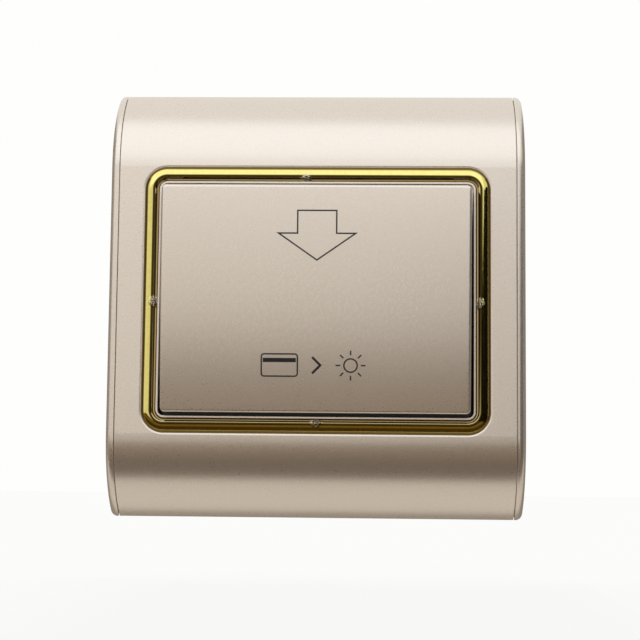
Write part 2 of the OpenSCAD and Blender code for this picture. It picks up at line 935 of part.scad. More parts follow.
module controller_chip() {
    color(black_plastic)
        on_wall()
            translate([0, -chip_y, -board_depth]) {
                translate([-chip_l / 2, -chip_w / 2, 0])
                    cube([chip_l, chip_w, chip_h]);
                for (i = [0 : leg_rows - 1])
                    translate([(i - (leg_rows - 1) / 2) * leg_pitch, 0, leg_h / 2])
                        cube([leg_w, chip_w + 2 * leg_l, leg_h], center = true);
            }
}

// Boxed component with round corners on the board's back
module boxed(x, y, w, l, h, r) {
    translate([x, y, 0])
        slab(w, l, r, board_back - h, board_back);
}

module dropper_capacitor() {
    color("#D9A21B")
        on_wall()
            boxed(dropper_x, relay_y, dropper_w, dropper_l, dropper_h, dropper_r);
}

module filter_capacitor() {
    color("#27324D")
        on_wall()
            translate([-filter_x, upper_y, board_back])
                rotate([180, 0, 0])
                    difference() {
                        cylinder(d = filter_d, h = filter_h);
                        for (turn = [0, 90])
                            rotate(turn)
                                translate([0, 0, filter_h])
                                    cube([score_l, score_w, 2 * score_depth], center = true);
                    }
}

module bridge_rectifier() {
    color(black_plastic)
        on_wall()
            boxed(rectifier_x, upper_y, rectifier_l, rectifier_w, rectifier_h, rectifier_r);
}

module surge_varistor() {
    color("#2F6FA8")
        on_wall()
            translate([varistor_x, relay_y, board_back]) {
                translate([0, 0, -varistor_rise - varistor_d / 2])
                    rotate([0, 90, 0])
                        cylinder(d = varistor_d, h = varistor_t, center = true);
                for (side = [-1, 1])
                    translate([0, side * varistor_d / 4, -varistor_rise - varistor_d / 2])
                        cylinder(d = lead_d, h = varistor_rise + varistor_d / 2);
            }
}

// Wiring strip: a base, a wall along its upper side and a barrier on each side of every place
module terminal_block() {
    color(black_plastic)
        on_wall()
            difference() {
                union() {
                    block([-strip_l / 2, strip_y - strip_d / 2, strip_top],
                        [strip_l / 2, strip_y + strip_d / 2, board_back]);
                    block([-strip_l / 2, strip_y + strip_d / 2 - strip_wall, strip_top - barrier_h * 0.6],
                        [strip_l / 2, strip_y + strip_d / 2, strip_top + bite]);
                    for (i = [0 : ways])
                        translate([(i - ways / 2) * way_pitch - barrier_t / 2, 0, 0])
                            block([0, strip_y - strip_d / 2, strip_top - barrier_h],
                                [barrier_t, strip_y + strip_d / 2, strip_top + bite]);
                }
                at_ways() {
                    translate([0, 0, strip_top - bite])
                        cylinder(d = wire_screw_d + 4 * screw_fit, h = wire_screw_l + bite);
                    block([-pin_w / 2 - screw_fit, terminal_plate[1] / 2 - pin_t - screw_fit,
                            strip_top - bite],
                        [pin_w / 2 + screw_fit, terminal_plate[1] / 2 + screw_fit, board_back + bite]);
                }
            }
}

module terminal_plates() {
    color(brass)
        on_wall()
            at_ways()
                difference() {
                    union() {
                        block([-terminal_plate[0] / 2, -terminal_plate[1] / 2,
                                strip_top - terminal_plate[2]],
                            [terminal_plate[0] / 2, terminal_plate[1] / 2, strip_top]);
                        block([-pin_w / 2, terminal_plate[1] / 2 - pin_t, strip_top - plate_t / 2],
                            [pin_w / 2, terminal_plate[1] / 2, board_back]);
                    }
                    screw_hole(wire_screw_d, strip_top - strip_base, strip_top + bite);
                }
}

module terminal_clamps() {
    color(steel)
        on_wall()
            at_ways()
                difference() {
                    translate([0, 0, strip_top - terminal_plate[2] - clamp_t / 2])
                        cube([clamp_w, clamp_w, clamp_t], center = true);
                    screw_hole(wire_screw_d, strip_top - strip_base, strip_top);
                }
}

module terminal_screws() {
    color(steel)
        on_wall()
            at_ways()
                translate([0, 0, strip_top - terminal_plate[2] - clamp_t])
                    rotate([180, 0, 0])
                        screw(wire_screw_d, wire_screw_l, wire_head);
}

// Relay

// Relay's base, with the stop that the contact blade rests on
module relay_base() {
    edge = relay_wall + relay_fit;
    rest_u = pivot_u + iron_t + blade_t + relay_fit;
    color(black_plastic)
        on_wall()
            at_relay() {
                block([edge, edge - relay_w / 2, 0], [relay_l - edge, relay_w / 2 - edge, relay_base_t]);
                translate([rest_u, iron_v - rest_w / 2, relay_base_t - bite])
                    cube([rest_t, rest_w, rest_h]);
            }
}

module relay_cover() {
    color("#30333A")
        on_wall()
            at_relay()
                difference() {
                    block([0, -relay_w / 2, 0], [relay_l, relay_w / 2, relay_h]);
                    block([relay_wall, relay_wall - relay_w / 2, -bite],
                        [relay_l - relay_wall, relay_w / 2 - relay_wall, relay_h - relay_wall]);
                }
}

// Draws along the coil's axis, from the yoke's leg towards the armature
module along_coil(u) {
    translate([u, iron_v, coil_axis])
        rotate([0, 90, 0])
            children();
}

module relay_bobbin() {
    low = yoke_u + iron_t;
    color(ivory)
        on_wall()
            at_relay()
                difference() {
                    union() {
                        along_coil(low)
                            cylinder(d = core_d + 2 * tube_wall, h = bobbin_end - low);
                        for (u = [low, bobbin_end - flange_t])
                            translate([u, iron_v - iron_w / 2, coil_axis - flange_w / 2])
                                cube([flange_t, iron_w, flange_w]);
                    }
                    along_coil(0)
                        cylinder(d = core_d + 2 * core_fit, h = relay_l);
                }
}

module relay_winding() {
    low = yoke_u + iron_t + flange_t;
    color(copper)
        on_wall()
            at_relay()
                along_coil(low)
                    difference() {
                        cylinder(d = winding_d, h = bobbin_end - flange_t - low);
                        translate([0, 0, -bite])
                            cylinder(d = core_d + 2 * tube_wall + core_fit, h = relay_l);
                    }
}

// Iron yoke: a leg behind the coil and a plate over it that ends at the armature's pivot
module relay_yoke() {
    color(steel)
        on_wall()
            at_relay()
                difference() {
                    union() {
                        block([yoke_u, iron_v - iron_w / 2, relay_base_t],
                            [yoke_u + iron_t, iron_v + iron_w / 2, yoke_w + iron_t]);
                        block([yoke_u, iron_v - iron_w / 2, yoke_w],
                            [pivot_u - yoke_gap, iron_v + iron_w / 2, yoke_w + iron_t]);
                    }
                    along_coil(0)
                        cylinder(d = core_d + core_fit, h = yoke_u + 2 * iron_t);
                }
}

module relay_core() {
    color(steel)
        on_wall()
            at_relay() {
                along_coil(yoke_u)
                    cylinder(d = core_d, h = pole_u - yoke_u);
                along_coil(pole_u - pole_t)
                    cylinder(d = pole_d, h = pole_t);
            }
}

// Contact button that faces along u
module contact_button(u) {
    translate([u, contact_v, contact_w])
        rotate([0, 90, 0])
            cylinder(d = contact_d, h = contact_t);
}

module fixed_contact() {
    color(brass)
        on_wall()
            at_relay() {
                translate([fixed_u - contact_t - post_t, contact_v - post_w / 2, relay_base_t])
                    cube([post_t, post_w, post_h - relay_base_t]);
                contact_button(fixed_u - contact_t);
            }
}

module relay_armature() {
    color(steel)
        on_wall()
            at_relay()
                block([pivot_u, iron_v - armature_w / 2, armature_low],
                    [pivot_u + iron_t, iron_v + armature_w / 2, yoke_w + iron_t]);
}

// Spring blade on the armature's outer face, with an arm that reaches out to the contacts
module contact_blade() {
    color(brass)
        on_wall()
            at_relay() {
                block([moving_u, iron_v - armature_w / 4, armature_low],
                    [moving_u + blade_t, iron_v + armature_w / 2, pivot_w - iron_t]);
                block([moving_u, iron_v - armature_w / 4, contact_w - contact_d / 2],
                    [moving_u + blade_t, contact_v + contact_d / 2, contact_w + contact_d / 2]);
            }
}

module moving_contact() {
    color(brass)
        on_wall()
            at_relay()
                contact_button(moving_u - contact_t);
}

face_plate();
left_end_cap();
right_end_cap();
trim_ring();
card_tray();
card_panel();
tray_screws();
panel_screws();
mounting_frame();
rear_housing();
housing_screws();
main_board();
antenna_coil();
locator_led();
controller_chip();
dropper_capacitor();
filter_capacitor();
bridge_rectifier();
surge_varistor();
terminal_block();
terminal_plates();
terminal_clamps();
terminal_screws();
relay_base();
relay_cover();
relay_bobbin();
relay_winding();
relay_yoke();
relay_core();
fixed_contact();
relay_armature();
contact_blade();
moving_contact();
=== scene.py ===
"""Looks of a hotel key card switch: finishes, bowed pocket front, printed signs, reader coil and studio.

Every piece is in metres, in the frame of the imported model: +Z is up the wall, -Y is out of the wall
towards the user and +X is to the user's right.
"""

import logging
import math
from dataclasses import dataclass, replace
from enum import Enum

import bmesh
import bpy
from mathutils import Matrix, Vector


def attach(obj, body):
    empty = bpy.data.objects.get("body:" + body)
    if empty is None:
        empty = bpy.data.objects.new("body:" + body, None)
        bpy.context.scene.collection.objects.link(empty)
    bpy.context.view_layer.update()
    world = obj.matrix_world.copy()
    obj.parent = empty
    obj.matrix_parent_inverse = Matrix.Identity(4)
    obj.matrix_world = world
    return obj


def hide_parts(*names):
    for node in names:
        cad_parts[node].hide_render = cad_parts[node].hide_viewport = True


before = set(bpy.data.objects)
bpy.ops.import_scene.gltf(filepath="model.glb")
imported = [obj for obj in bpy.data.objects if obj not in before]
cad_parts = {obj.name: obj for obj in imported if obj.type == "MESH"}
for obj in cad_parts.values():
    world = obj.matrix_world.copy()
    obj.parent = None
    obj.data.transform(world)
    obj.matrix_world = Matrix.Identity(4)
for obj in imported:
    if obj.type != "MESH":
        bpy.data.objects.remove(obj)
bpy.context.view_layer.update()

Tree = bpy.types.NodeTree
Node = bpy.types.Node
Socket = bpy.types.NodeSocket
Shape = bmesh.types.BMesh
Edges = list[bmesh.types.BMEdge]
Colour = tuple[float, float, float, float]
Point = tuple[float, float, float]

MM = 0.001
# Points closer than this are one point: in new shapes, and in solids that come as loose triangles.
MERGE_MM = 0.001
WELD_MM = 0.002
# An edge that turns by more than this counts as sharp.
SHARP_DEGREES = 32.0
# Outer outline of the ring, seen from the front.
RING_HALF_MM = (35.55, 27.35)
RING_CORNER_MM = 4.5
# How far the pocket's front leans out towards its top.
LEAN_DEGREES = 4.5
# Noise keeps mostly between these two values.
NOISE_LOW, NOISE_HIGH = 0.3, 0.7
# Sockets of the mix node for colours, by number, because other sockets of it have the same names.
MIX_SHARE, MIX_BELOW, MIX_ABOVE, MIX_RESULT = 0, 6, 7, 2
WHITE = "#FEFEFD"
# Turn that stands up what was drawn lying flat.
STAND = Matrix.Rotation(math.radians(90), 4, "X")
LOG = logging.getLogger("key_card_switch")


class Body(Enum):
    """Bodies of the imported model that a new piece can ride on."""

    BASE = "base"
    COVER = "front_cover"


class Grain(Enum):
    """Direction in which a metal was rolled or brushed, as the stretch of its streaks along x, y and z."""

    ACROSS = (0.06, 1.0, 1.0)
    OUT = (1.0, 0.06, 1.0)
    UP = (1.0, 1.0, 0.06)


def linear(colour: str) -> Colour:
    """Turn an sRGB hex colour into linear values.

    Args:
        colour: The colour as "#RRGGBB".

    Returns:
        Linear red, green and blue, and an alpha of 1.
    """
    channels = [int(colour[k:k + 2], 16) / 255 for k in (1, 3, 5)]
    red, green, blue = (c / 12.92 if c <= 0.04045 else ((c + 0.055) / 1.055) ** 2.4 for c in channels)
    return red, green, blue, 1.0


def per_metre(size_mm: float) -> float:
    """Give the pattern scale whose features are about this many millimetres apart."""
    return 1 / (size_mm * MM)


def add_node(
    tree: Tree,
    kind: str,
    settings: dict[str, object] | None = None,
    inputs: dict[str | int, object] | None = None,
) -> Node:
    """Add one node with its settings and its links.

    Args:
        tree: The node tree that gets the node.
        kind: Blender's name for the kind of node.
        settings: Properties of the node itself.
        inputs: Values for its sockets, or sockets of other nodes to link to them.

    Returns:
        The new node.
    """
    node = tree.nodes.new(kind)
    for name, value in (settings or {}).items():
        setattr(node, name, value)
    for name, value in (inputs or {}).items():
        if isinstance(value, Socket):
            tree.links.new(value, node.inputs[name])
        else:
            node.inputs[name].default_value = value
    return node


def add_math(tree: Tree, operation: str, *values: object) -> Socket:
    """Add a math node for values or sockets, and give its result."""
    node = add_node(tree, "ShaderNodeMath", {"operation": operation}, dict(enumerate(values)))
    return node.outputs["Value"]


def empty_material(name: str) -> bpy.types.Material:
    """Make a material with an empty node tree."""
    made = bpy.data.materials.new(name)
    made.use_nodes = True
    made.node_tree.nodes.clear()
    return made


def add_object(name: str, data: bpy.types.ID) -> bpy.types.Object:
    """Put a mesh, light or camera into the scene as an object."""
    made = bpy.data.objects.new(name, data)
    bpy.context.scene.collection.objects.link(made)
    return made


def add_shape(name: str, shape: Shape, material: bpy.types.Material) -> bpy.types.Object:
    """Put a shape, in metres at its place, into the scene as an object, and free it."""
    mesh = bpy.data.meshes.new(name)
    shape.to_mesh(mesh)
    shape.free()
    mesh.materials.append(material)
    return add_object(name, mesh)


@dataclass(frozen=True)
class Canvas:
    """A material to draw on: its node tree, its object coordinates and its shader."""

    tree: Tree
    where: Socket
    shader: Node

    def noise(
        self, size_mm: float, detail: float, roughness: float = 0.5, where: Socket | None = None
    ) -> Socket:
        """Draw noise.

        Args:
            size_mm: Size of its features.
            detail: Number of its finer layers.
            roughness: How much each finer layer counts.
            where: Coordinates to draw it on, if not the canvas's own.

        Returns:
            The pattern.
        """
        return add_node(self.tree, "ShaderNodeTexNoise", inputs={
            "Vector": self.where if where is None else where, "Scale": per_metre(size_mm),
            "Detail": detail, "Roughness": roughness}).outputs["Fac"]

    def bands(self, way: str, pitch_mm: float) -> Socket:
        """Draw even bands that follow each other along an axis; at scale 1 they repeat every pi / 10."""
        return add_node(self.tree, "ShaderNodeTexWave", {"bands_direction": way}, {
            "Vector": self.where, "Scale": per_metre(pitch_mm) * math.pi / 10}).outputs["Fac"]

    def bump(self, height: Socket, relief: float, depth_mm: float, under: Node | None = None) -> Node:
        """Raise a pattern, on top of another bump if that is given.

        Args:
            height: The pattern.
            relief: Strength of the bump, 0 to 1.
            depth_mm: Height of the pattern's whole range.
            under: The bump below.

        Returns:
            The bump's node.
        """
        bump = add_node(self.tree, "ShaderNodeBump", inputs={
            "Height": height, "Strength": relief, "Distance": depth_mm * MM})
        if under is not None:
            self.tree.links.new(under.outputs["Normal"], bump.inputs["Normal"])
        return bump

    def ease(self, measure: Socket, zero_mm: float, one_mm: float) -> Socket:
        """Turn a length into a share that eases from 0 at one place to 1 at another."""
        return add_node(self.tree, "ShaderNodeMapRange", {"interpolation_type": "SMOOTHSTEP"}, {
            "Value": measure, "From Min": zero_mm * MM, "From Max": one_mm * MM}).outputs["Result"]

    def lay_over(self, share: Socket, colour: Socket | Colour) -> None:
        """Lay a colour over a share of the one that the shader has."""
        below = self.shader.inputs["Base Color"].links[0].from_socket
        both = add_node(self.tree, "ShaderNodeMix", {"data_type": "RGBA"}, {
            MIX_SHARE: share, MIX_BELOW: below, MIX_ABOVE: colour})
        self.tree.links.new(both.outputs[MIX_RESULT], self.shader.inputs["Base Color"])

    def from_ring(self) -> Socket:
        """Measure how far a point lies outside the core of the ring's outline, seen from the front.

        Returns:
            The distance in metres, which on the outline is the corner's radius.
        """
        across, up = ((half - RING_CORNER_MM) * MM for half in RING_HALF_MM)
        point = self.where
        for operation, other in (
            ("ABSOLUTE", (0.0, 0.0, 0.0)), ("SUBTRACT", (across, 1.0, up)), ("MAXIMUM", (0.0, 0.0, 0.0)),
        ):
            point = add_node(self.tree, "ShaderNodeVectorMath", {"operation": operation}, {
                0: point, 1: other}).outputs["Vector"]
        length = add_node(self.tree, "ShaderNodeVectorMath", {"operation": "LENGTH"}, {0: point})
        return length.outputs["Value"]


@dataclass(frozen=True)
class Finish:
    """A surface: what it is made of, how it was made and what that gives the eye.

    The two hex colours are the darkest and the lightest tone of its slight unevenness, the two roughness
    values the smoothest and the roughest place.
    """

    name: str
    dark: str
    light: str
    roughness: tuple[float, float]
    metallic: float = 0.0
    coat: float = 0.0
    coat_roughness: float = 0.12

    def material(self) -> bpy.types.Material:
        """Make the material with its shader and pattern, or find it if it was made before."""
        found = bpy.data.materials.get(self.name)
        if found is not None:
            return found
        made = empty_material(self.name)
        tree = made.node_tree
        shader = add_node(tree, "ShaderNodeBsdfPrincipled", inputs={
            "Metallic": self.metallic, "Coat Weight": self.coat, "Coat Roughness": self.coat_roughness})
        add_node(tree, "ShaderNodeOutputMaterial", inputs={"Surface": shader.outputs["BSDF"]})
        top = self.pattern(Canvas(tree, add_node(tree, "ShaderNodeTexCoord").outputs["Object"], shader))
        tree.links.new(top.outputs["Normal"], shader.inputs["Normal"])
        return made

    def tones(self, canvas: Canvas, amount: Socket) -> None:
        """Let a pattern run the colour between the two tones and the roughness between its two values.

        Args:
            canvas: The material.
            amount: The noise that does it.
        """
        ramp = add_node(canvas.tree, "ShaderNodeValToRGB", inputs={"Fac": amount})
        stops = ((NOISE_LOW, self.dark), (NOISE_HIGH, self.light))
        for stop, (position, colour) in zip(ramp.color_ramp.elements, stops):
            stop.position = position
            stop.color = linear(colour)
        rough = add_node(canvas.tree, "ShaderNodeMapRange", inputs={
            "Value": amount, "From Min": NOISE_LOW, "From Max": NOISE_HIGH,
            "To Min": self.roughness[0], "To Max": self.roughness[1]})
        canvas.tree.links.new(ramp.outputs["Color"], canvas.shader.inputs["Base Color"])
        canvas.tree.links.new(rough.outputs["Result"], canvas.shader.inputs["Roughness"])

    def pattern(self, canvas: Canvas) -> Node:
        """Draw the finish's pattern; each kind of finish has its own.

        Args:
            canvas: The material.

        Returns:
            The topmost bump.
        """
        raise NotImplementedError


@dataclass(frozen=True)
class FlakePaint(Finish):
    """Sprayed metallic paint: fine flake that glints, under a satin film with a trace of orange peel."""

    flake_mm: float = 0.3
    flake_depth_mm: float = 0.04
    peel_mm: float = 2.4
    peel_depth_mm: float = 0.05
    relief: float = 0.03
    # Dark tone that the paint thins out to with depth: unpainted moulding, and painted shade of the hollows.
    bare_and_shade: str = ""
    dark_from_mm: float = 0.0
    dark_to_mm: float = 0.0
    lean_degrees: float = 0.0
    # Colour of a fine line of painted shade round the ring's outer edge; none if empty.
    line: str = ""
    line_width_mm: float = 0.24
    rim_mm: float = 0.38
    rim_drop_mm: float = 0.08

    def pattern(self, canvas: Canvas) -> Node:
        """Draw the flake's tones and glints, and the film's orange peel."""
        self.tones(canvas, canvas.noise(self.flake_mm, detail=4.0, roughness=0.65))
        flake = add_node(canvas.tree, "ShaderNodeTexVoronoi", {"feature": "F1"}, {
            "Vector": canvas.where, "Scale": per_metre(self.flake_mm)})
        film = canvas.bump(canvas.noise(self.peel_mm, detail=2.0), self.relief, self.peel_depth_mm)
        # Dark with depth: unpainted moulding and painted shade.
        if self.bare_and_shade:
            self.thin_out_into_shade(canvas)
        # A fine line of painted shade round the ring, where a colour is given.
        if self.line:
            self.paint_shade_line(canvas, film)
        return canvas.bump(flake.outputs["Distance"], self.relief, self.flake_depth_mm, film)

    def paint_shade_line(self, canvas: Canvas, film: Node) -> None:
        """Draw a fine line of painted shade along the ring's edge, and the paint's rim that rolls down to it.

        Args:
            canvas: The material.
            film: The bump that lies on the rim.
        """
        away = canvas.from_ring()
        half_width = 0.5 * self.line_width_mm * MM
        on_shade_line = add_math(canvas.tree, "COMPARE", away, RING_CORNER_MM * MM + half_width, half_width)
        canvas.lay_over(on_shade_line, linear(self.line))
        rim_from = RING_CORNER_MM + self.line_width_mm
        rise = canvas.ease(away, rim_from, rim_from + self.rim_mm)
        rim = canvas.bump(rise, relief=1.0, depth_mm=self.rim_drop_mm)
        canvas.tree.links.new(rim.outputs["Normal"], film.inputs["Normal"])

    def thin_out_into_shade(self, canvas: Canvas) -> None:
        """Let the paint end with depth in a dark tone: unpainted moulding, and also painted shade of the
        hollow.
        """
        upright = add_node(canvas.tree, "ShaderNodeMapping", inputs={
            "Vector": canvas.where, "Rotation": (-math.radians(self.lean_degrees), 0.0, 0.0)})
        depth = add_node(canvas.tree, "ShaderNodeSeparateXYZ", inputs={"Vector": upright.outputs["Vector"]})
        reach = canvas.ease(depth.outputs["Y"], self.dark_from_mm, self.dark_to_mm)
        canvas.lay_over(reach, linear(self.bare_and_shade))
        metal = add_node(canvas.tree, "ShaderNodeMapRange", inputs={
            "Value": reach, "To Min": self.metallic, "To Max": 0.0})
        canvas.tree.links.new(metal.outputs["Result"], canvas.shader.inputs["Metallic"])


@dataclass(frozen=True)
class BrightPlating(Finish):
    """Gold-coloured bright plating on moulded plastic: a mirror that waves a little, with dull gate scars.

    Each zone is a distance in from the ring's outer outline in millimetres, a colour (painted shade on the
    feet and the groove, painted light on the low step), and how much of the plating that colour covers there.
    """

    polish_mm: float = 0.8
    wave_mm: float = 7.0
    wave_relief: float = 0.25
    wave_depth_mm: float = 0.12
    scars_mm: tuple[Point, ...] = ()
    scar_size_mm: float = 1.5
    scar_core: float = 0.45
    scar_colour: str = "#E6DFCB"
    scar_relief: float = 0.9
    scar_depth_mm: float = 0.4
    scratch_mm: float = 0.35
    scratched: tuple[float, float] = (0.45, 0.6)
    zones: tuple[tuple[float, str, float], ...] = ()

    def pattern(self, canvas: Canvas) -> Node:
        """Draw the polish, the slow waves of the moulding and the scars left by its gates."""
        self.tones(canvas, canvas.noise(self.polish_mm, detail=5.0, roughness=0.6))
        # Painted shade on the feet and the groove, painted light on the low step.
        self.paint_shade_and_light(canvas)
        scratch = canvas.noise(self.scratch_mm, detail=3.0)
        scars = self.scars(canvas)
        worn = add_node(canvas.tree, "ShaderNodeMapRange", inputs={
            "Value": scratch, "From Min": self.scratched[0], "From Max": self.scratched[1],
            "To Min": 0.0, "To Max": scars})
        canvas.lay_over(worn.outputs["Result"], linear(self.scar_colour))
        wavy = canvas.bump(canvas.noise(self.wave_mm, detail=1.5), self.wave_relief, self.wave_depth_mm)
        height = add_math(canvas.tree, "MULTIPLY", scars, scratch)
        return canvas.bump(height, self.scar_relief, self.scar_depth_mm, wavy)

    def scars(self, canvas: Canvas) -> Socket:
        """Find the scars: 1 in the middle of each, 0 away from them."""
        spots = []
        for place in self.scars_mm:
            away = add_node(canvas.tree, "ShaderNodeVectorMath", {"operation": "DISTANCE"}, {
                0: canvas.where, 1: Vector(place) * MM})
            core = self.scar_core * self.scar_size_mm
            spots.append(canvas.ease(away.outputs["Value"], self.scar_size_mm, core))
        found = spots[0]
        for spot in spots[1:]:
            found = add_math(canvas.tree, "MAXIMUM", found, spot)
        return found

    def paint_shade_and_light(self, canvas: Canvas) -> None:
        """Paint shade into the groove and the two feet, and painted light as a pale tan on the low step."""
        reach = self.zones[-1][0]
        inwards = add_node(canvas.tree, "ShaderNodeMapRange", inputs={
            "Value": canvas.from_ring(), "From Min": RING_CORNER_MM * MM,
            "From Max": (RING_CORNER_MM - reach) * MM})
        ramp = add_node(canvas.tree, "ShaderNodeValToRGB", inputs={"Fac": inwards.outputs["Result"]})
        stops = ramp.color_ramp.elements
        while len(stops) < len(self.zones):
            stops.new(1.0)
        for stop, (distance, colour, cover) in zip(stops, self.zones):
            stop.position = distance / reach
            stop.color = (*linear(colour)[:3], cover)
        canvas.lay_over(ramp.outputs["Alpha"], ramp.outputs["Color"])


@dataclass(frozen=True)
class MouldedPlastic(Finish):
    """Injection-moulded plastic: the fine spark-eroded grain of the mould and faint flow clouds."""

    cloud_mm: float = 6.0
    grain_mm: float = 0.25
    relief: float = 0.3
    depth_mm: float = 0.02

    def pattern(self, canvas: Canvas) -> Node:
        """Draw the flow clouds and the mould's grain."""
        self.tones(canvas, canvas.noise(self.cloud_mm, detail=4.0))
        grain = canvas.noise(self.grain_mm, detail=3.0, roughness=0.6)
        return canvas.bump(grain, self.relief, self.depth_mm)


@dataclass(frozen=True)
class RolledMetal(Finish):
    """Rolled or drawn metal, plated or bare: streaks along the way it was rolled, and faint clouds."""

    grain: Grain = Grain.ACROSS
    cloud_mm: float = 2.2
    streak_mm: float = 0.12
    relief: float = 0.15
    depth_mm: float = 0.01

    def pattern(self, canvas: Canvas) -> Node:
        """Draw the streaks and the clouds."""
        self.tones(canvas, canvas.noise(self.cloud_mm, detail=4.0))
        along = add_node(canvas.tree, "ShaderNodeMapping", inputs={
            "Vector": canvas.where, "Scale": self.grain.value})
        streak = canvas.noise(self.streak_mm, detail=3.0, where=along.outputs["Vector"])
        return canvas.bump(streak, self.relief, self.depth_mm)


@dataclass(frozen=True)
class EnamelledWire(Finish):
    """Enamelled copper wire: warm metal under a clear varnish, its tone changing a little along each turn."""

    tone_mm: float = 4.0
    drawn_mm: float = 0.2
    relief: float = 0.1
    depth_mm: float = 0.01
    pitch_mm: float = 0.0
    turn_relief: float = 0.8
    turn_depth_mm: float = 0.1

    def pattern(self, canvas: Canvas) -> Node:
        """Draw the varnish's tones, and the turns where the piece is one plain sleeve."""
        self.tones(canvas, canvas.noise(self.tone_mm, detail=2.0))
        bump = canvas.bump(canvas.noise(self.drawn_mm, detail=2.0), self.relief, self.depth_mm)
        if self.pitch_mm:
            bump = canvas.bump(canvas.bands("X", self.pitch_mm), self.turn_relief, self.turn_depth_mm, bump)
        return bump


@dataclass(frozen=True)
class BoardLaminate(Finish):
    """Glass-epoxy laminate under green solder mask: the woven glass shows through as a fine check."""

    flow_mm: float = 4.0
    weave_mm: float = 0.5
    relief: float = 0.25
    depth_mm: float = 0.02

    def pattern(self, canvas: Canvas) -> Node:
        """Draw the weave's check and the mask's flow."""
        self.tones(canvas, canvas.noise(self.flow_mm, detail=3.0))
        warp, weft = (canvas.bands(way, self.weave_mm) for way in "XZ")
        return canvas.bump(add_math(canvas.tree, "MULTIPLY", warp, weft), self.relief, self.depth_mm)


@dataclass(frozen=True)
class CastResin(Finish):
    """Clear cast epoxy of a lamp: water clear, with the slight ripple of the mould it set in."""

    clear: float = 0.92
    refraction: float = 1.52
    ripple_mm: float = 1.2
    relief: float = 0.1
    depth_mm: float = 0.03

    def pattern(self, canvas: Canvas) -> Node:
        """Draw the ripple, and let light through."""
        canvas.shader.inputs["Transmission Weight"].default_value = self.clear
        canvas.shader.inputs["IOR"].default_value = self.refraction
        ripple = canvas.noise(self.ripple_mm, detail=2.0)
        self.tones(canvas, ripple)
        return canvas.bump(ripple, self.relief, self.depth_mm)


# Sprayed champagne paint on ABS: satin sheen, tone from near white to brown with what it reflects. The
# flake is drawn at 0.3 mm, coarser than the real 0.05 mm, because finer glints would not show.
CHAMPAGNE = FlakePaint(
    "champagne flake paint on ABS, sprayed", "#DBD0C2", "#E3D9CC", (0.26, 0.34), metallic=0.76)
# The same paint on the tray: it covers the lip and thins out to the unpainted dark moulding inside the
# pocket, whose dark tone there is also painted shade.
OVERSPRAY_AND_SHADE = replace(
    CHAMPAGNE, name="champagne flake paint thinning out on dark ABS",
    bare_and_shade="#2B2520", dark_from_mm=-9.9, dark_to_mm=-9.2)
# The same paint on the pocket's front: its tone falls from top to bottom with the front's bow, and it
# thins out down the sides into a dark tone that is painted shade.
BOWED = replace(
    CHAMPAGNE, name="champagne flake paint on a bowed ABS front",
    bare_and_shade="#2B2520", dark_from_mm=-13.9, dark_to_mm=-13.0, lean_degrees=LEAN_DEGREES)
# The same paint on the plate: its fat edge round the ring catches the light, beside a thin painted shade
# line.
SHADE_LINED = replace(CHAMPAGNE, name="champagne flake paint on ABS with a painted shade line", line="#6E5A30")
# Bright gold plating on ABS: yellow mirror, black where it faces the dark side of the room. From the
# outside in, its zones are the outer foot, the bead, the groove, the low step and the inner foot; the
# brown of the feet and the groove is painted shade, the pale tan of the step is painted light.
GOLD = BrightPlating(
    "bright gold plating on ABS", "#D5C772", "#DED184", (0.06, 0.12), metallic=1.0,
    scars_mm=((-33.3, -10.3, -0.7), (33.3, -10.3, -0.7), (0.2, -10.3, -25.0), (-2.4, -10.3, 25.0)),
    zones=(
        (0.0, "#5A3D17", 0.9), (0.25, "#5A3D17", 0.9), (0.42, "#5A3D17", 0.0),
        (1.42, "#3C3210", 0.0), (1.58, "#3C3210", 1.0), (1.92, "#3C3210", 1.0),
        (2.06, "#C8B482", 1.0), (2.42, "#C8B482", 1.0), (2.6, "#4A3312", 1.0)))
# Ivory polycarbonate: even, slightly translucent-looking warm white with a fine matt grain.
IVORY = MouldedPlastic("ivory polycarbonate, moulded", "#E3DCCB", "#ECE6D8", (0.42, 0.52))
# Black flame-retardant nylon: deep grey-black, a soft sheen on the grain.
BLACK = MouldedPlastic("black nylon, moulded", "#1B1B1C", "#272728", (0.45, 0.6), grain_mm=0.3)
# Dark relay case of polished PBT: smoother, with clearer reflections.
RELAY_CASE = MouldedPlastic(
    "dark PBT relay case, moulded", "#2A2D33", "#353841", (0.2, 0.3), grain_mm=0.5, depth_mm=0.006)
# Green solder mask over laminate: glossy film with the weave under it.
LAMINATE = BoardLaminate("green masked glass epoxy board", "#174A2E", "#22633F", (0.22, 0.34), coat=0.3)
# Enamelled copper, as separate turns and as a sleeve whose turns are drawn in its bump.
WIRE = EnamelledWire("enamelled copper wire", "#B5652B", "#D68A4E", (0.22, 0.34), metallic=0.9, coat=0.5)
WINDING = EnamelledWire(
    "enamelled copper winding", "#96521F", "#B9733A", (0.24, 0.36), metallic=0.9, coat=0.5, pitch_mm=0.3)
# Rolled brass strip, bright zinc on steel and nickel on soft iron: streaked metal, clearer or duller.
BRASS = RolledMetal(
    "rolled brass strip", "#BE9D45", "#D2B565", (0.22, 0.36), metallic=1.0, grain=Grain.UP)
ZINC = RolledMetal(
    "bright zinc plated steel", "#AEB2B6", "#CBCED1", (0.2, 0.34), metallic=1.0, grain=Grain.ACROSS)
NICKEL = RolledMetal(
    "nickel plated soft iron", "#9B9B98", "#B8B7B2", (0.24, 0.38), metallic=1.0, grain=Grain.OUT)
# Cast lamp lens: clear with a bright rim.
LENS = CastResin("clear epoxy lamp lens, cast", "#DCE6F2", "#EEF4FA", (0.03, 0.08))
# Film capacitor box: yellow flame-retardant case, satin.
FILM_BOX = MouldedPlastic("yellow polyester capacitor box, moulded", "#CB9418", "#DDA62A", (0.3, 0.42))
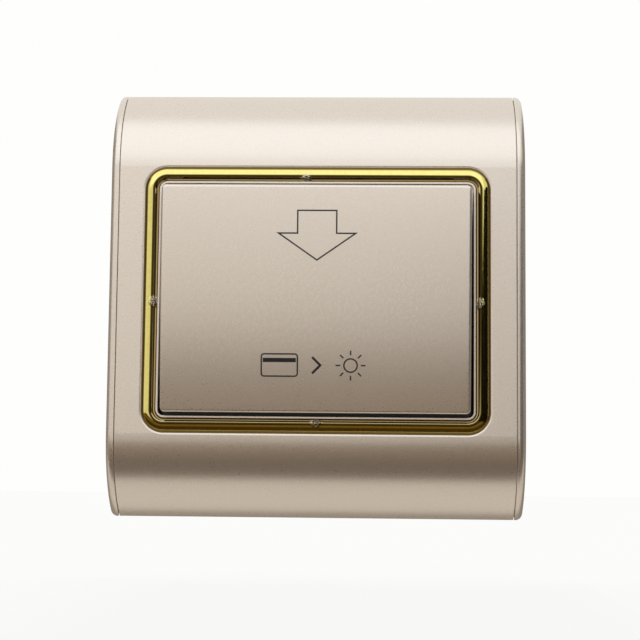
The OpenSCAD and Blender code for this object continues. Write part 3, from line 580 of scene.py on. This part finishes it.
# Shrink sleeve: dark blue PVC pulled tight, glossy with faint ripples.
SLEEVE = MouldedPlastic(
    "dark blue shrink sleeve", "#202A43", "#2E3A5B", (0.16, 0.26), grain_mm=0.9, depth_mm=0.01)
# Dipped epoxy on the surge disc: thick, uneven, waxy.
DIPPED = MouldedPlastic(
    "blue dipped epoxy coating", "#28639A", "#3A7AB3", (0.26, 0.4), grain_mm=0.7, depth_mm=0.05)
# Screen-printed ink: dense black, a little duller than the paint, with pinholes of the screen.
INK = MouldedPlastic(
    "black screen-printed ink", "#0E0B09", "#1A1613", (0.5, 0.62), grain_mm=0.12, depth_mm=0.004)


@dataclass(frozen=True)
class EdgeSoftening:
    """Small rounding of a moulded piece's sharp edges, so that they catch a thin line of light."""

    width_mm: float
    segments: int = 3
    over_degrees: float = SHARP_DEGREES
    flat_degrees: float = 0.2

    def apply(self, piece: bpy.types.Object) -> None:
        """Add the rounding as modifiers, so that the piece's own mesh stays as it is."""
        weld = piece.modifiers.new("join loose triangles", "WELD")
        weld.merge_threshold = WELD_MM * MM
        flat = piece.modifiers.new("join flat faces", "DECIMATE")
        flat.decimate_type = "DISSOLVE"
        flat.angle_limit = math.radians(self.flat_degrees)
        bevel = piece.modifiers.new("soft edges", "BEVEL")
        bevel.width = self.width_mm * MM
        bevel.segments = self.segments
        bevel.profile = 0.5
        bevel.limit_method = "ANGLE"
        bevel.angle_limit = math.radians(self.over_degrees)
        bevel.use_clamp_overlap = False
        bevel.harden_normals = True
        shade_evenly(piece)


def shade_evenly(piece: bpy.types.Object) -> None:
    """Let a piece's large faces lead its shading, up to its sharp edges."""
    piece.modifiers.new("even shading", "WEIGHTED_NORMAL").keep_sharp = True


def dress(node: str, finish: Finish, edges: EdgeSoftening | None = None) -> None:
    """Give a CAD node its finish and soft edges, and report it.

    Args:
        node: The node's name.
        finish: The finish of its whole surface.
        edges: How its sharp edges are rounded, if they are.
    """
    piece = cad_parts[node]
    piece.data.materials.clear()
    piece.data.materials.append(finish.material())
    if edges is not None:
        edges.apply(piece)
    LOG.info("%s: %s", node, finish.name)


def finish_piece(
    shape: Shape, name: str, finish: Finish, body: Body, replaces: tuple[str, ...] = ()
) -> bpy.types.Object:
    """Turn a finished shape into a piece that rides on a body, and report it.

    Args:
        shape: The shape, in metres at its place; it is freed here.
        name: The piece's name.
        finish: The finish of its whole surface.
        body: The body that it rides on.
        replaces: CAD nodes that it stands for.

    Returns:
        The new object.
    """
    bmesh.ops.remove_doubles(shape, verts=shape.verts, dist=MERGE_MM * MM)
    bmesh.ops.recalc_face_normals(shape, faces=shape.faces)
    piece = add_shape(name, shape, finish.material())
    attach(piece, body.value)
    if replaces:
        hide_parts(*replaces)
    LOG.info("%s: %s, %d faces", name, finish.name, len(piece.data.polygons))
    return piece


@dataclass
class FrontCover:
    """The part that is pulled off the wall: plate, end caps, ring, tray and their screws."""

    plate_edge: EdgeSoftening = EdgeSoftening(0.1)
    cap_edge: EdgeSoftening = EdgeSoftening(0.06)
    tray_edge: EdgeSoftening = EdgeSoftening(0.14)

    def dress(self) -> None:
        """Dress the cover's CAD nodes."""
        dress("face_plate", SHADE_LINED, self.plate_edge)
        dress("left_end_cap", CHAMPAGNE, self.cap_edge)
        dress("right_end_cap", CHAMPAGNE, self.cap_edge)
        dress("trim_ring", GOLD)
        dress("card_tray", OVERSPRAY_AND_SHADE, self.tray_edge)
        dress("tray_screws", ZINC)
        dress("panel_screws", ZINC)


@dataclass(frozen=True)
class PanelBow:
    """Place of the pocket's front, and its slight bow between top and bottom, as flat mouldings have.

    Sizes are millimetres in the plane of the panel: y up the panel, z out of it, its middle the origin.
    """

    panel_out: float = 14.55
    panel_shift: float = -0.325
    lean_degrees: float = LEAN_DEGREES
    half_height: float = 23.0
    radius: float = 262.0
    strips: int = 30
    wall: float = 2.2
    root: float = 5.0

    def place(self) -> Matrix:
        """Give the turn and shift from the panel's plane in millimetres to the row's frame in metres."""
        lean = Matrix.Rotation(math.radians(self.lean_degrees), 4, "X")
        return Matrix.Scale(MM, 4) @ STAND @ Matrix.Translation((0, self.panel_shift, self.panel_out)) @ lean

    def bend(self, shape: Shape) -> None:
        """Cut a shape into level strips and bow them out; what lies behind the front wall follows less."""
        for k in range(1, self.strips):
            level = self.half_height * (2 * k / self.strips - 1)
            bmesh.ops.bisect_plane(shape, geom=[*shape.verts, *shape.edges, *shape.faces], dist=MERGE_MM,
                                   plane_co=(0, level, 0), plane_no=(0, 1, 0))
        for vert in shape.verts:
            follow = min(1.0, max(0.0, (vert.co.z + self.root) / (self.root - self.wall)))
            vert.co.z += follow * max(0.0, self.half_height ** 2 - vert.co.y ** 2) / (2 * self.radius)


@dataclass
class PocketFront:
    """The raised front of the card pocket, bowed out a little."""

    bow: PanelBow = PanelBow()
    sharp_degrees: float = SHARP_DEGREES

    def build(self) -> None:
        """Bow the solid's shape, and report it."""
        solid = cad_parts["card_panel"].data
        shape = bmesh.new()
        corners = [shape.verts.new(vert.co) for vert in solid.vertices]
        for face in solid.polygons:
            shape.faces.new([corners[k] for k in face.vertices])
        bmesh.ops.transform(shape, verts=shape.verts, matrix=self.bow.place().inverted())
        bmesh.ops.remove_doubles(shape, verts=shape.verts, dist=WELD_MM)
        self.bow.bend(shape)
        bmesh.ops.transform(shape, verts=shape.verts, matrix=self.bow.place())
        for face in shape.faces:
            face.smooth = True
        for edge in shape.edges:
            edge.smooth = edge.calc_face_angle(0.0) < math.radians(self.sharp_degrees)
        shade_evenly(finish_piece(
            shape, "pocket_front", BOWED, Body.COVER, ("card_panel",)))


@dataclass
class PanelPrint:
    """Signs printed on the pocket's front: an outline arrow, and below it a card, a chevron and a lamp.

    Sizes are millimetres in the plane of the panel, whose middle is the origin. The card's stripe is given
    as shares of half the card's height.
    """

    bow: PanelBow = PanelBow()
    film: float = 0.012
    stroke: float = 0.3
    arrow_x: float = 0.25
    arrow_top: float = 18.0
    arrow_shoulder: float = 13.36
    arrow_point: float = 7.58
    stem_half: float = 4.1
    head_half: float = 8.3
    sign_y: float = -13.5
    card_at: float = -7.2
    card_size: tuple[float, float] = (7.6, 4.8)
    card_corner: float = 0.7
    corner_steps: int = 5
    stripe_gap: float = 0.15
    stripe_up: float = 0.42
    stripe_width: float = 0.36
    chevron_at: float = 0.3
    chevron_rise: float = 0.78
    chevron_length: float = 2.5
    chevron_strokes: float = 1.6
    lamp_at: float = 7.2
    lamp_radius: float = 1.5
    lamp_sides: int = 40
    rays: int = 8
    ray_out: float = 1.05
    ray_length: float = 0.95

    def hollow(self, shape: Shape, sheet: bmesh.types.BMFace) -> None:
        """Leave only a border of the print's stroke, inside a sheet's edge."""
        bmesh.ops.inset_region(
            shape, faces=[sheet], thickness=self.stroke, use_even_offset=True, use_boundary=True)
        bmesh.ops.delete(shape, geom=[sheet], context="FACES")

    def outline(self, shape: Shape, corners: list[tuple[float, float]], rounding: float = 0.0) -> None:
        """Draw a closed outline of the print's stroke, inside its corners.

        Args:
            shape: The shape that gets the outline.
            corners: The corners, in order.
            rounding: Radius of the corners.
        """
        sheet = shape.faces.new([shape.verts.new((x, y, 0)) for x, y in corners])
        sheet.normal_update()
        if rounding:
            bmesh.ops.bevel(shape, geom=list(sheet.verts), offset=rounding, affect="VERTICES",
                            segments=self.corner_steps, profile=0.5, material=-1)
            sheet = max(shape.faces, key=lambda face: face.calc_area())
        self.hollow(shape, sheet)

    def bar(self, shape: Shape, middle: Matrix, length: float, width: float) -> None:
        """Draw a filled bar round its middle, with its length along x and its width along y."""
        bmesh.ops.create_grid(shape, x_segments=1, y_segments=1, size=0.5,
                              matrix=middle @ Matrix.Diagonal((length, width, 1, 1)))

    def to_piece(self, shape: Shape, name: str) -> None:
        """Give a flat sign the ink's thickness, lay it on the panel and report it.

        Args:
            shape: The sign, flat at z = 0.
            name: The piece's name.
        """
        bmesh.ops.remove_doubles(shape, verts=shape.verts, dist=MERGE_MM)
        for face in shape.faces:
            if face.normal.z < 0:
                face.normal_flip()
        raised = bmesh.ops.extrude_face_region(shape, geom=list(shape.faces))
        top = [v for v in raised["geom"] if isinstance(v, bmesh.types.BMVert)]
        bmesh.ops.translate(shape, verts=top, vec=(0, 0, self.film))
        self.bow.bend(shape)
        bmesh.ops.transform(shape, matrix=self.bow.place(), verts=shape.verts)
        bmesh.ops.recalc_face_normals(shape, faces=shape.faces)
        finish_piece(shape, name, INK, Body.COVER)

    def arrow(self) -> None:
        """Print the outline arrow that points down into the pocket."""
        shape = bmesh.new()
        x = self.arrow_x
        self.outline(shape, [
            (x - self.stem_half, self.arrow_top), (x - self.stem_half, self.arrow_shoulder),
            (x - self.head_half, self.arrow_shoulder), (x, self.arrow_point),
            (x + self.head_half, self.arrow_shoulder), (x + self.stem_half, self.arrow_shoulder),
            (x + self.stem_half, self.arrow_top)])
        self.to_piece(shape, "entry_arrow")

    def card_sign(self) -> None:
        """Print a plain card with its stripe."""
        shape = bmesh.new()
        w, h = (s / 2 for s in self.card_size)
        x, y = self.card_at, self.sign_y
        corners = [(x - w, y - h), (x + w, y - h), (x + w, y + h), (x - w, y + h)]
        self.outline(shape, corners, rounding=self.card_corner)
        self.bar(shape, Matrix.Translation((x, y + h * self.stripe_up, 0)),
                 2 * (w - self.stroke - self.stripe_gap), h * self.stripe_width)
        self.to_piece(shape, "card_sign")

    def chevron_sign(self) -> None:
        """Print a chevron that points from the card to the lamp."""
        shape = bmesh.new()
        for side in (-1, 1):
            place = Matrix.Translation((self.chevron_at, self.sign_y + side * self.chevron_rise, 0))
            turn = Matrix.Rotation(math.radians(-45 * side), 4, "Z")
            self.bar(shape, place @ turn, self.chevron_length, self.chevron_strokes * self.stroke)
        self.to_piece(shape, "chevron_sign")

    def lamp_sign(self) -> None:
        """Print a lamp: a ring with short rays."""
        shape = bmesh.new()
        middle = Matrix.Translation((self.lamp_at, self.sign_y, 0))
        bmesh.ops.create_circle(
            shape, cap_ends=True, segments=self.lamp_sides, radius=self.lamp_radius, matrix=middle)
        self.hollow(shape, shape.faces[:][0])
        out = Matrix.Translation((self.lamp_radius + self.ray_out, 0, 0))
        for k in range(self.rays):
            turn = Matrix.Rotation(2 * math.pi * k / self.rays, 4, "Z")
            self.bar(shape, middle @ turn @ out, self.ray_length, self.stroke)
        self.to_piece(shape, "lamp_sign")

    def build(self) -> None:
        """Print all the signs."""
        self.arrow()
        self.card_sign()
        self.chevron_sign()
        self.lamp_sign()


@dataclass
class ReaderCoil:
    """The wound loop behind the pocket, its turns lying beside and on each other, with its two wire ends.

    Sizes are millimetres: x to the right, y up the wall, z out from the wall.
    """

    width: float = 44.0
    height: float = 39.0
    bar: float = 3.0
    thickness: float = 1.6
    corner: float = 6.0
    corner_steps: int = 7
    seat: float = 2.4
    across: int = 6
    layers: int = 3
    wire: float = 0.48
    sides: int = 8
    lead_x: float = 1.5
    lead_y: float = 16.0
    lead_low: float = -2.0
    lead_d: float = 0.5
    lead_tuck: float = 0.2
    lead_bend: float = 0.45
    lead_steps: int = 5

    def section(self, shape: Shape, at: Point, diameter: float) -> Edges:
        """Start a tube that runs up the wall, and give the edges of its open end."""
        ring = bmesh.ops.create_circle(shape, cap_ends=False, segments=self.sides, radius=diameter / 2,
                                       matrix=Matrix.Translation(at) @ STAND)
        return list(dict.fromkeys(e for v in ring["verts"] for e in v.link_edges))

    def run(self, shape: Shape, edges: Edges, way: Point) -> Edges:
        """Draw a tube's open end straight on, and give the edges of the new end."""
        drawn = bmesh.ops.extrude_edge_only(shape, edges=edges)["geom"]
        bmesh.ops.translate(shape, verts=[v for v in drawn if isinstance(v, bmesh.types.BMVert)], vec=way)
        return [e for e in drawn if isinstance(e, bmesh.types.BMEdge)]

    def bend(self, shape: Shape, edges: Edges, centre: Point, axis: Point, steps: int) -> Edges:
        """Bend a tube's open end through a quarter turn, and give the edges of the new end."""
        turned = bmesh.ops.spin(shape, geom=edges, cent=centre, axis=axis, dvec=(0, 0, 0),
                                angle=math.radians(90), steps=steps, use_merge=False, use_duplicate=False)
        return [e for e in turned["geom_last"] if isinstance(e, bmesh.types.BMEdge)]

    def turn(self, shape: Shape, inset: float, level: float) -> None:
        """Lay one turn of wire round the loop, from its lower right corner upwards.

        Args:
            shape: The shape that gets the turn.
            inset: Distance of the wire's middle from the loop's outside.
            level: Height of the wire's middle.
        """
        corner = self.corner - inset
        x, y = self.width / 2 - inset - corner, self.height / 2 - inset - corner
        edges = self.section(shape, (x + corner, -y, level), self.wire)
        for way, centre in (
            ((0, 2 * y, 0), (x, y, level)),
            ((-2 * x, 0, 0), (-x, y, level)),
            ((0, -2 * y, 0), (-x, -y, level)),
            ((2 * x, 0, 0), (x, -y, level)),
        ):
            edges = self.run(shape, edges, way)
            edges = self.bend(shape, edges, centre, (0, 0, 1), self.corner_steps)

    def lead(self, shape: Shape, x: float) -> None:
        """Lead one wire end from the inner turn down through the frame to the board."""
        level = self.seat + self.thickness / 2
        start = self.height / 2 - self.bar + self.lead_tuck
        bend_y, bend_z = self.lead_y + self.lead_bend, level - self.lead_bend
        edges = self.section(shape, (x, start, level), self.lead_d)
        edges = self.run(shape, edges, (0, bend_y - start, 0))
        edges = self.bend(shape, edges, (x, bend_y, bend_z), (1, 0, 0), self.lead_steps)
        self.run(shape, edges, (0, 0, self.lead_low - bend_z))

    def build(self) -> None:
        """Wind the loop, layer by layer, without the turns that lie hidden under others, and report it."""
        shape = bmesh.new()
        pitch = self.bar / self.across
        rise = (self.thickness - pitch) / (self.layers - 1)
        for layer in range(self.layers):
            for k in range(self.across):
                inner = 0 < k < self.across - 1
                if inner and layer < self.layers - 1:
                    continue
                self.turn(shape, pitch * (k + 0.5), self.seat + pitch / 2 + rise * layer)
        for side in (-1, 1):
            self.lead(shape, side * self.lead_x)
        bmesh.ops.remove_doubles(shape, verts=shape.verts, dist=MERGE_MM)
        bmesh.ops.holes_fill(shape, edges=[edge for edge in shape.edges if edge.is_boundary])
        bmesh.ops.transform(shape, verts=shape.verts, matrix=Matrix.Scale(MM, 4) @ STAND)
        for face in shape.faces:
            face.smooth = True
        finish_piece(shape, "reader_coil_turns", WIRE, Body.BASE, ("antenna_coil",))


@dataclass
class WallUnit:
    """What stays on the wall: frame, housing, board and the parts on it."""

    frame_edge: EdgeSoftening = EdgeSoftening(0.2)

    def dress(self) -> None:
        """Dress the wall unit's CAD nodes."""
        dress("mounting_frame", IVORY, self.frame_edge)
        dress("rear_housing", BLACK)
        dress("housing_screws", ZINC)
        dress("main_board", LAMINATE)
        dress("locator_led", LENS)
        dress("controller_chip", BLACK)
        dress("dropper_capacitor", FILM_BOX)
        dress("filter_capacitor", SLEEVE)
        dress("bridge_rectifier", BLACK)
        dress("surge_varistor", DIPPED)


@dataclass
class WiringStrip:
    """The strip that takes the supply wires."""

    edge: EdgeSoftening = EdgeSoftening(0.12)

    def dress(self) -> None:
        """Dress the strip's CAD nodes."""
        dress("terminal_block", BLACK, self.edge)
        dress("terminal_plates", BRASS)
        dress("terminal_clamps", ZINC)
        dress("terminal_screws", ZINC)


@dataclass
class LoadRelay:
    """The relay that switches the room's supply, with its moving armature."""

    edge: EdgeSoftening = EdgeSoftening(0.25)

    def dress(self) -> None:
        """Dress the relay's CAD nodes."""
        dress("relay_base", BLACK)
        dress("relay_cover", RELAY_CASE, self.edge)
        dress("relay_bobbin", IVORY)
        dress("relay_winding", WINDING)
        dress("relay_yoke", NICKEL)
        dress("relay_core", NICKEL)
        dress("fixed_contact", BRASS)
        dress("relay_armature", NICKEL)
        dress("contact_blade", BRASS)
        dress("moving_contact", BRASS)


@dataclass
class Studio:
    """Camera, white surround, softbox, and cards that shape what the metal reflects. Sizes are metres."""

    camera_at: Point = (0.010856, -0.321704, -0.03555)
    yaw: float = 1.846
    pitch: float = 5.736
    roll: float = 0.578
    lens_mm: float = 85.926
    sensor_mm: float = 36.0
    clip: tuple[float, float] = (0.01, 60.0)
    floor_z: float = -0.12
    floor_size: float = 12.0
    floor_glow: float = 0.92
    flag_width: float = 1.6
    flag_lift: float = 0.008
    flag_top: float = -0.084
    flag_near: float = -0.014
    flag_middle: float = -0.17
    flag_far: float = -0.5
    softbox_at: Point = (-0.06, -0.33, 0.335)
    softbox_size: tuple[float, float] = (0.9, 0.48)
    softbox_watts: float = 0.84
    softbox_colour: str = "#E2ECFF"
    ambient: float = 0.8

    def camera(self) -> None:
        """Stand the camera where the photograph was taken."""
        yaw, pitch, roll = (math.radians(a) for a in (self.yaw, self.pitch, self.roll))
        ahead = Vector((-math.sin(yaw) * math.cos(pitch), math.cos(yaw) * math.cos(pitch), math.sin(pitch)))
        right = Vector((math.cos(yaw), math.sin(yaw), 0))
        up = right.cross(ahead)
        turned_right = math.cos(roll) * right + math.sin(roll) * up
        turned_up = -math.sin(roll) * right + math.cos(roll) * up
        data = bpy.data.cameras.new("camera")
        data.lens = self.lens_mm
        data.sensor_width = self.sensor_mm
        data.clip_start, data.clip_end = self.clip
        eye = add_object("camera", data)
        axes = Matrix((turned_right, turned_up, -ahead)).transposed().to_4x4()
        eye.matrix_world = Matrix.Translation(self.camera_at) @ axes
        bpy.context.scene.camera = eye

    def world(self) -> None:
        """Make the surround white to the camera and in reflections, and softer as light."""
        world = bpy.data.worlds.new("white studio")
        world.use_nodes = True
        bpy.context.scene.world = world
        tree = world.node_tree
        tree.nodes.clear()
        strength = add_node(tree, "ShaderNodeMapRange", inputs={
            "Value": self.seen_directly(tree), "To Min": self.ambient, "To Max": 1.0})
        light = add_node(tree, "ShaderNodeBackground", inputs={
            "Color": linear(WHITE), "Strength": strength.outputs["Result"]})
        add_node(tree, "ShaderNodeOutputWorld", inputs={"Surface": light.outputs["Background"]})

    def seen_directly(self, tree: Tree) -> Socket:
        """Give 1 for rays from the camera, in a reflection or through glass, 0 for those that only light."""
        path = add_node(tree, "ShaderNodeLightPath")
        shiny = add_math(
            tree, "MAXIMUM", path.outputs["Is Glossy Ray"], path.outputs["Is Transmission Ray"])
        return add_math(tree, "MAXIMUM", path.outputs["Is Camera Ray"], shiny)

    def card(self, name: str, matrix: Matrix, material: bpy.types.Material, shown: bool) -> None:
        """Set up a flat card as part of the stage.

        Args:
            name: The card's name.
            matrix: Place, turn and size, for a card of 1 by 1.
            material: Its material.
            shown: Whether the camera sees it and it casts a shadow.
        """
        shape = bmesh.new()
        bmesh.ops.create_grid(shape, x_segments=1, y_segments=1, size=0.5, matrix=matrix)
        card = add_shape(name, shape, material)
        card.visible_camera = shown
        card.visible_shadow = shown

    def floor_paper(self) -> bpy.types.Material:
        """Make the pale paper of the floor, which the camera sees nearly white."""
        paper = empty_material("pale studio paper")
        tree = paper.node_tree
        matt = add_node(tree, "ShaderNodeBsdfDiffuse", inputs={"Color": linear("#F4F3F0")})
        white = add_node(tree, "ShaderNodeEmission", inputs={"Color": linear(WHITE), "Strength": 1.0})
        share = add_node(tree, "ShaderNodeMapRange", inputs={
            "Value": self.seen_directly(tree), "To Min": 0.0, "To Max": self.floor_glow})
        both = add_node(tree, "ShaderNodeMixShader", inputs={
            0: share.outputs["Result"], 1: matt.outputs["BSDF"], 2: white.outputs["Emission"]})
        add_node(tree, "ShaderNodeOutputMaterial", inputs={"Surface": both.outputs["Shader"]})
        return paper

    def plain_card(self, name: str, colour: str) -> bpy.types.Material:
        """Make the material of a card that shows its colour, whatever light falls on it."""
        plain = empty_material(name)
        tree = plain.node_tree
        glow = add_node(tree, "ShaderNodeEmission", inputs={"Color": linear(colour), "Strength": 1.0})
        add_node(tree, "ShaderNodeOutputMaterial", inputs={"Surface": glow.outputs["Emission"]})
        return plain

    def stage(self) -> None:
        """Lay the floor and set up the cards."""
        floor_size = Matrix.Diagonal((self.floor_size, self.floor_size, 1, 1))
        self.card("floor", Matrix.Translation((0, 0, self.floor_z)) @ floor_size, self.floor_paper(), True)
        brown = self.plain_card("dark brown card", "#4A3618")
        tan = self.plain_card("tan card", "#785E38")
        grey = self.plain_card("grey card", "#8F877D")
        black = self.plain_card("black card", "#15120D")
        cream = self.plain_card("warm white card", "#FBF7F2")
        pale = self.plain_card("pale grey card", "#E6E1DA")
        near, middle, far, top = self.flag_near, self.flag_middle, self.flag_far, self.flag_top
        low, wide = self.floor_z + self.flag_lift, self.flag_width
        flat = Matrix.Identity(4)
        sideways = Matrix.Rotation(math.radians(90), 4, "Y")
        for name, place, turn, size, material in (
            ("lower_flag", (0, (near + middle) / 2, low), flat, (wide, near - middle), brown),
            ("lower_flag_far", (0, (middle + far) / 2, low), flat, (wide, middle - far), tan),
            ("front_flag", (0, far, (low + top) / 2), STAND, (wide, top - low), brown),
            ("bounce_card", (0, -0.0115, -0.062), flat, (0.3, 0.029), pale),
            ("under_card", (0, 0.453, -0.062), flat, (0.3, 0.9), grey),
            ("left_card", (-0.2, 0.415, 0.0), sideways, (0.3, 0.97), grey),
            ("room_card", (-0.42, -0.9, 0.1), STAND, (1.2, 0.45), cream),
            ("right_card", (0.18, 0.42, 0.0), sideways, (0.3, 0.96), grey),
            ("side_flag", (0.17, -0.415, -0.01), sideways, (0.17, 0.71), black),
        ):
            stretch = Matrix.Diagonal((*size, 1, 1))
            self.card(name, Matrix.Translation(place) @ turn @ stretch, material, False)

    def softbox(self) -> None:
        """Hang the softbox above and in front, turned to the origin."""
        data = bpy.data.lights.new("softbox", "AREA")
        data.shape = "RECTANGLE"
        data.size, data.size_y = self.softbox_size
        data.energy = self.softbox_watts
        data.color = linear(self.softbox_colour)[:3]
        lamp = add_object("softbox", data)
        turn = (-Vector(self.softbox_at)).to_track_quat("-Z", "Y").to_matrix().to_4x4()
        lamp.matrix_world = Matrix.Translation(self.softbox_at) @ turn

    def build(self) -> None:
        """Set the studio up."""
        self.camera()
        self.world()
        self.stage()
        self.softbox()
        bpy.context.scene.view_settings.view_transform = "Standard"
        LOG.info("studio: camera, floor, softbox and cards")


def main() -> None:
    """Build the studio and the switch, piece by piece."""
    logging.basicConfig(level=logging.INFO, format="%(name)s: %(message)s")
    Studio().build()
    FrontCover().dress()
    PocketFront().build()
    PanelPrint().build()
    WallUnit().dress()
    ReaderCoil().build()
    WiringStrip().dress()
    LoadRelay().dress()


if __name__ == "__main__":
    main()
